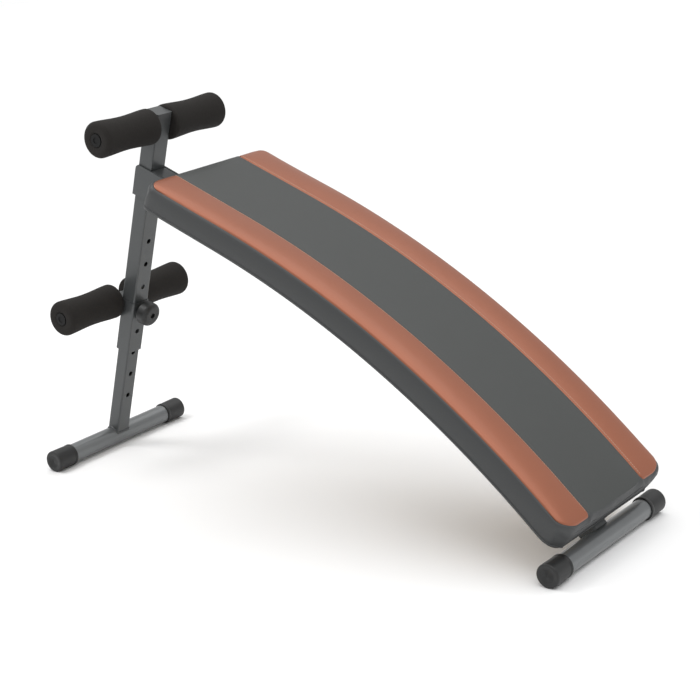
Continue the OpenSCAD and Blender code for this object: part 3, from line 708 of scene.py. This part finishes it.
def panel(key, name, material, cad_nodes, extra=()):
    """One sewn panel: its faces of the grid, with only the points they use."""
    faces = face_grid[panel_of == key]
    faces = faces[:, ::-1] if flip_faces else faces
    extra = [f[::-1] if flip_faces else f for f in extra]
    corners = np.concatenate([faces.ravel()] + [np.array(f) for f in extra])
    used, inverse = np.unique(corners, return_inverse=True)
    count = faces.size
    new_faces = inverse[:count].reshape(-1, 4)
    new_extra, at = [], count
    for f in extra:
        new_extra.append(tuple(inverse[at:at + len(f)].tolist()))
        at += len(f)
    piece = new_piece(name, cover.reshape(-1, 3)[used], new_faces, material, new_extra)
    smooth = piece.modifiers.new("smooth", "SUBSURF")
    smooth.levels = smooth.render_levels = 1
    smooth.boundary_smooth = "PRESERVE_CORNERS"
    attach(piece, "frame")
    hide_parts(*cad_nodes)
    return piece


flip_faces = enclosed(cover.reshape(-1, 3), face_grid.reshape(-1, 4)) < 0
panel("centre", "pad_centre_panel", charcoal, ["cover_centre"])
panel("near", "pad_stripe_near", copper, ["cover_stripe_near"])
panel("far", "pad_stripe_far", copper, ["cover_stripe_far"])
panel("band", "pad_side_band", side_leather, ["cover_band", "pad_foam"], end_caps)
print("panels cut, faces turned:", bool(flip_faces))

# %% [markdown]
# A row of stitches runs beside each inner seam on the copper side. A piping cord follows the pad's
# lower edge, and a weld bead rings the leg where it stands on its floor tube. All three are tubes
# swept along a line of points.

# %% Stitches, piping and weld
STITCH_PITCH = 4.6 * MM
STITCH_LENGTH = 3.7 * MM
THREAD_R = 0.5 * MM
STITCH_RINGS, STITCH_SIDES = 5, 6
STITCH_RISE = 0.28 * MM
STITCH_SINK = 0.12 * MM
BEAD_R = 2.2 * MM
BEAD_RIPPLE = 2.4 * MM
LEG_HALF_Y, LEG_HALF_D, LEG_CORNER = 17 * MM, 14 * MM, 3 * MM
TUBE_SIDES = 12
CORD_R = 1.4 * MM


def tube_along(path, radii, out, sides):
    """Rings of points p + r * (cos(a) * out + sin(a) * side) along an open or closed path."""
    along = np.gradient(path, axis=0)
    along /= np.linalg.norm(along, axis=1, keepdims=True)
    side = np.cross(along, out)
    side /= np.linalg.norm(side, axis=1, keepdims=True)
    lift = np.cross(side, along)
    angle = np.linspace(0, 2 * np.pi, sides, endpoint=False)
    ring = np.cos(angle)[None, :, None] * lift[:, None] + np.sin(angle)[None, :, None] * side[:, None]
    return path[:, None] + radii[:, None, None] * ring


def stitch_row(name, col):
    """A row of bowed stitches on the cover along one column of its grid."""
    line = cover[first + 1:last, col]
    out_line = grid_normals(cover)[first + 1:last, col]
    reach = path_length(line)
    starts = np.arange(4 * MM, reach[-1] - 8 * MM, STITCH_PITCH)
    share = np.linspace(0, 1, STITCH_RINGS)
    points, faces = [], []
    for start in starts:
        at = start + share * STITCH_LENGTH
        path = np.stack([np.interp(at, reach, line[:, k]) for k in range(3)], axis=1)
        out = np.stack([np.interp(at, reach, out_line[:, k]) for k in range(3)], axis=1)
        path = path + out * (STITCH_RISE * np.sin(np.pi * share))[:, None] - out * STITCH_SINK
        radii = THREAD_R * np.array([0.45, 0.85, 1.0, 0.85, 0.45])
        base = STITCH_RINGS * STITCH_SIDES * len(points)
        points.append(tube_along(path, radii, out, STITCH_SIDES))
        faces.append(quads(STITCH_RINGS, STITCH_SIDES, wrap_cols=True)[:, ::-1] + base)
        faces.append(base + np.array([[0, 1, 2, 3], [0, 3, 4, 5]]))
        end = base + (STITCH_RINGS - 1) * STITCH_SIDES
        faces.append(end + np.array([[3, 2, 1, 0], [5, 4, 3, 0]]))
    points = np.concatenate(points).reshape(-1, 3)
    piece = new_piece(name, points, face_out(points, np.concatenate(faces)), thread)
    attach(piece, "frame")
    return piece


def closed_tube(name, path, radii, out, material):
    """A tube that comes back to its start: two points more at each end keep its rings in line."""
    loop = np.concatenate([path[-2:], path, path[:2]])
    radii = np.concatenate([radii[-2:], radii, radii[:2]])
    ring = tube_along(loop, radii, np.tile(out, (len(loop), 1)), TUBE_SIDES)[2:-2]
    points = ring.reshape(-1, 3)
    faces = face_out(points, quads(len(ring), TUBE_SIDES, wrap_rows=True, wrap_cols=True))
    return new_piece(name, points, faces, material)


def piping():
    """A cord round the lower edge: along both sides of the grid and across both of its ends."""
    low = side_col - 1
    ends = np.arange(low, cols - low + 1)
    side = np.arange(1, rows - 1)
    corners = [cover[0, ends], cover[side, cols - low], cover[-1, ends[::-1]], cover[side[::-1], low]]
    edge = np.concatenate(corners)
    reach = path_length(edge)
    keep = np.concatenate([[True], np.diff(reach) > 0.05 * MM])
    even = np.linspace(0, reach[-1], 700, endpoint=False)
    path = np.stack([np.interp(even, reach[keep], edge[keep][:, k]) for k in range(3)], axis=1)
    piece = closed_tube("pad_piping", path, np.full(len(path), CORD_R), (0, 0, 1), side_leather)
    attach(piece, "frame")
    return piece


def leg_weld():
    """A rippled bead round the leg where it meets the floor tube: height sqrt(r^2 - d^2) at offset d."""
    outline = []
    for quarter, (sy, sd) in enumerate([(1, 1), (-1, 1), (-1, -1), (1, -1)]):
        centre = (sy * (LEG_HALF_Y - LEG_CORNER), sd * (LEG_HALF_D - LEG_CORNER))
        outline += arc_points(centre, LEG_CORNER, 90 * quarter, 90 * quarter + 90, 6)
    outline = np.array(outline + outline[:1])
    reach = path_length(outline)
    even = np.linspace(0, reach[-1], 160, endpoint=False)
    y, d = (np.interp(even, reach, outline[:, k]) for k in (0, 1))
    side = np.cross(up, [0, 1, 0])
    rise = np.sqrt(TUBE_R**2 - d**2)
    path = leg_foot + rise[:, None] * up + d[:, None] * side + y[:, None] * np.array([0, 1, 0])
    radii = BEAD_R * (1 + 0.1 * np.abs(np.sin(even / BEAD_RIPPLE * np.pi)))
    piece = closed_tube("leg_foot_weld", path, radii, up, paint)
    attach(piece, "leg")
    return piece


stitch_row("stitches_near", cols - seam_col - 2)
stitch_row("stitches_far", seam_col + 2)
piping()
leg_weld()
print("stitches, piping and weld made")

# %% [markdown]
# A plain pale floor and a white surround leave soft light from all sides. A sun with a wide disc gives
# the soft shadow under the bench, and two square lamps shape the tubes and the rolled edges.

# %% Floor and light
FLOOR_HALF = 8
SURROUND = 0.68


def studio_floor():
    """A wide flat grid at z = 0."""
    side = np.linspace(-FLOOR_HALF, FLOOR_HALF, 3)
    x, y = np.meshgrid(side, side, indexing="ij")
    points = np.stack([x, y, np.zeros_like(x)], axis=-1)
    material = bpy.data.materials.new("pale_floor")
    material.use_nodes = True
    shader = material.node_tree.nodes["Principled BSDF"]
    shader.inputs["Base Color"].default_value = (0.92, 0.92, 0.92, 1)
    shader.inputs["Roughness"].default_value = 0.9
    shader.inputs["Specular IOR Level"].default_value = 0.1
    floor = new_piece("studio_floor", points, quads(3, 3), material)
    return floor


def shining(name, kind, power, direction):
    """A light of the given kind and power, turned to shine along a direction."""
    obj = bpy.data.objects.new(name, bpy.data.lights.new(name, kind))
    obj.data.energy = power
    obj.rotation_euler = Vector(direction).to_track_quat("-Z", "Y").to_euler()
    scene.collection.objects.link(obj)
    return obj


def lamp(name, place, aim, power, size):
    """A square area lamp at a place, turned to its aim."""
    obj = shining(name, "AREA", power, Vector(aim) - Vector(place))
    obj.location = place
    obj.data.size = size


def white_room():
    """A surround that lights the bench softly and shows pure white to the camera."""
    world = bpy.data.worlds.new("white_room")
    world.use_nodes = True
    tree = world.node_tree
    soft = tree.nodes["Background"]
    soft.inputs["Strength"].default_value = SURROUND
    soft.inputs["Color"].default_value = (1, 1, 1, 1)
    seen = tree.nodes.new("ShaderNodeBackground")
    seen.inputs["Color"].default_value = (1, 1, 1, 1)
    path = tree.nodes.new("ShaderNodeLightPath")
    mix = tree.nodes.new("ShaderNodeMixShader")
    tree.links.new(path.outputs["Is Camera Ray"], mix.inputs["Fac"])
    tree.links.new(soft.outputs[0], mix.inputs[1])
    tree.links.new(seen.outputs[0], mix.inputs[2])
    tree.links.new(mix.outputs[0], tree.nodes["World Output"].inputs["Surface"])
    return world


def wide_sun(name, direction, strength, spread_angle):
    """A sun lamp with a wide disc, so that its shadow has no hard edge."""
    shining(name, "SUN", strength, direction).data.angle = math.radians(spread_angle)


studio_floor()
scene.world = white_room()
wide_sun("ceiling", (-0.14, -0.16, -1), 1.45, 72)
lamp("side_box", (1.5, -1.2, 1.9), (0.2, 0, 0.1), 5, 1.1)
lamp("edge_box", (-1.3, -0.6, 1.8), (0, 0, 0.3), 11, 0.6)
scene.view_settings.view_transform = "Standard"
print("lamps set")

# %% [markdown]
# The camera stands a little above the bench at its near head corner, level but for a small roll.

# %% Camera
LENS = 91.58
SENSOR = 36
ROLL = math.radians(-4.44)
MIDDLE_FROM_LEG = 0.642
STAND = (1.9643, -2.4507, 1.2603)
AIM_UP = 0.28936
camera_data = bpy.data.cameras.new("camera")
camera_data.lens = LENS
camera_data.sensor_width = SENSOR
camera = bpy.data.objects.new("camera", camera_data)
middle_x = leg_foot[0] + MIDDLE_FROM_LEG
stand = Vector((STAND[0] + middle_x, STAND[1], STAND[2]))
aim = Vector((middle_x, 0, AIM_UP))
back = (stand - aim).normalized()
right = Vector((0, 0, 1)).cross(back).normalized()
above = back.cross(right)
rolled_right = right * math.cos(ROLL) + above * math.sin(ROLL)
rolled_up = above * math.cos(ROLL) - right * math.sin(ROLL)
turn = np.array([rolled_right, rolled_up, back]).T
camera.matrix_world = Matrix.LocRotScale(stand, Matrix(turn.tolist()), None)
scene.collection.objects.link(camera)
scene.camera = camera
print("camera at", [round(v, 3) for v in stand])
